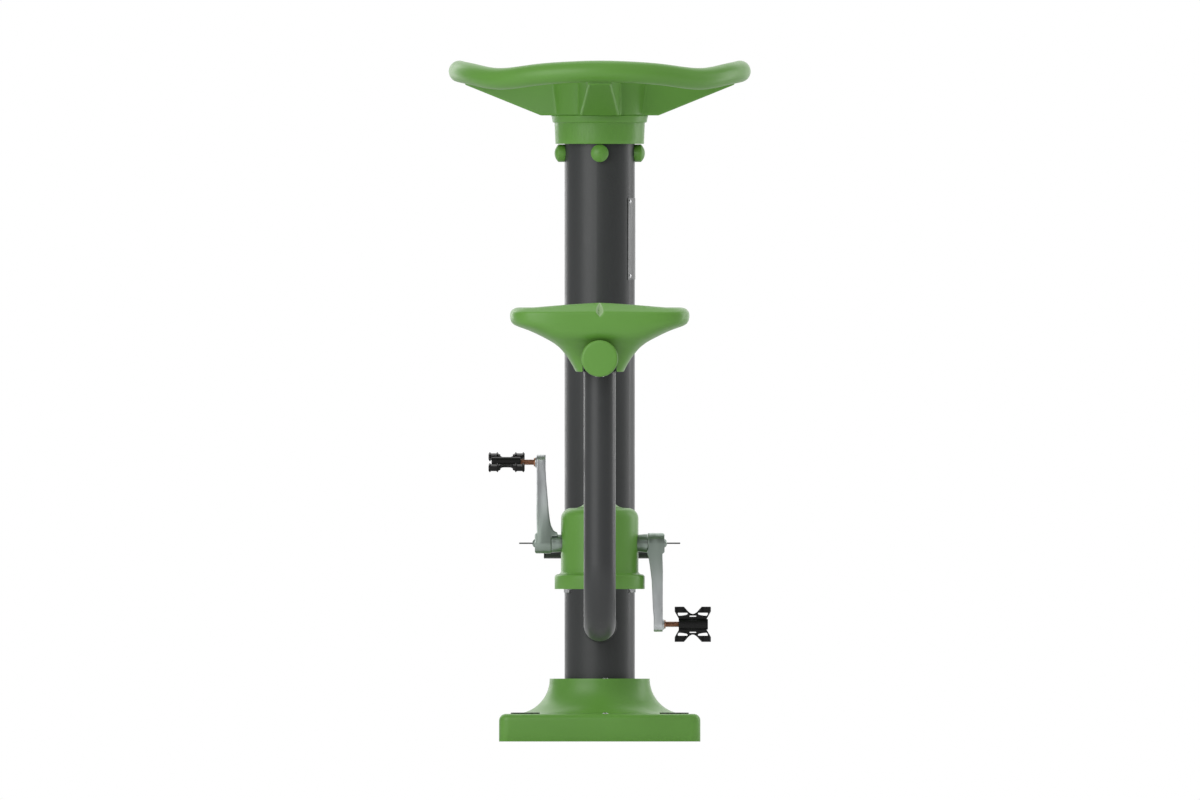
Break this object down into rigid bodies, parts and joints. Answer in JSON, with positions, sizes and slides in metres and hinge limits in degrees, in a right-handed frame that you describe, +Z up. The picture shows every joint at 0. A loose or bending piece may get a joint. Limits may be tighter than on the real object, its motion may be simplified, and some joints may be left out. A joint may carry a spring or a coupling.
{
  "type": "outdoor fitness bike",
  "caption": "Outdoor exercise bike for parks: post with a round wavy hand wheel, seat on a J-shaped tube and a pedal drive in a bell housing.",
  "frame": {"origin": "on the ground at the post's axis, in the middle of the anchor bolt pattern", "axes": "+Z up along the post, +Y the way the rider faces, +X to the rider's right"},
  "size_m": [0.6, 0.94, 1.3531],
  "materials": {
    "green_plastic": "moulded polyethylene, fine satin grain",
    "dark_steel": "anthracite powder coat with a fine texture",
    "zinc_steel": "zinc-plated steel",
    "cast_aluminium": "cast, blasted and clear-coated",
    "plate_aluminium": "anodised sheet, bare",
    "black_plastic": "moulded, glass-filled nylon",
    "black_rubber": "moulded rubber",
    "brake_lining": "pressed friction lining",
    "copper_steel": "copper-plated steel thread",
    "bronze": "sintered bronze"
  },
  "bodies": {
    "frame": {"base_plate": "zinc_steel", "post_ribs": "dark_steel", "cover_standoffs": "zinc_steel", "base_cover": "green_plastic", "anchor_plugs": "black_plastic", "cover_screws": "zinc_steel", "main_post": "dark_steel", "cross_tube": "dark_steel", "cross_tube_caps": "black_plastic", "info_plate": "plate_aluminium", "plate_rivets": "zinc_steel", "handle_spigot": "zinc_steel", "handle_bolts": "zinc_steel", "bolt_caps": "green_plastic", "hub_collar": "green_plastic", "handle_wheel": "green_plastic", "wheel_screws": "zinc_steel", "hub_cap": "green_plastic", "seat_tube": "dark_steel", "seat_rail": "dark_steel", "rail_caps": "green_plastic", "seat_shell": "green_plastic", "seat_bolts": "zinc_steel", "drive_pedestal": "dark_steel", "drive_plate": "dark_steel", "drive_bolts": "zinc_steel", "drive_housing": "green_plastic", "housing_plug": "black_plastic", "housing_seals": "black_rubber", "bearing_blocks": "dark_steel", "bearing_left": "zinc_steel", "bearing_right": "zinc_steel", "lock_rings": "zinc_steel", "brake_holder": "dark_steel", "brake_pads": "brake_lining", "brake_screws": "zinc_steel"},
    "crankset": {"crank_axle": "zinc_steel", "brake_disc": "zinc_steel", "sleeve_left": "cast_aluminium", "sleeve_right": "cast_aluminium", "crank_left": "cast_aluminium", "crank_right": "cast_aluminium", "crank_bolt_left": "cast_aluminium", "crank_bolt_right": "cast_aluminium", "crank_pin_left": "dark_steel", "crank_pin_right": "dark_steel", "pedal_spindle_left": "copper_steel", "pedal_spindle_right": "copper_steel", "spindle_nut_left": "zinc_steel", "spindle_nut_right": "zinc_steel"},
    "pedal_left": {"pedal_body_left": "black_plastic", "pedal_bushes_left": "bronze", "pedal_cap_left": "black_plastic"},
    "pedal_right": {"pedal_body_right": "black_plastic", "pedal_bushes_right": "bronze", "pedal_cap_right": "black_plastic"}
  },
  "joints": [
    {"name": "crank_spin", "type": "hinge", "parent": "frame", "child": "crankset", "pos_m": [0, -0.24, 0.394], "axis": [-1, 0, 0], "continuous": true},
    {"name": "pedal_left_spin", "type": "hinge", "parent": "crankset", "child": "pedal_left", "pos_m": [-0.185, -0.24, 0.555], "axis": [-1, 0, 0], "continuous": true},
    {"name": "pedal_right_spin", "type": "hinge", "parent": "crankset", "child": "pedal_right", "pos_m": [0.185, -0.24, 0.233], "axis": [-1, 0, 0], "continuous": true}
  ]
}
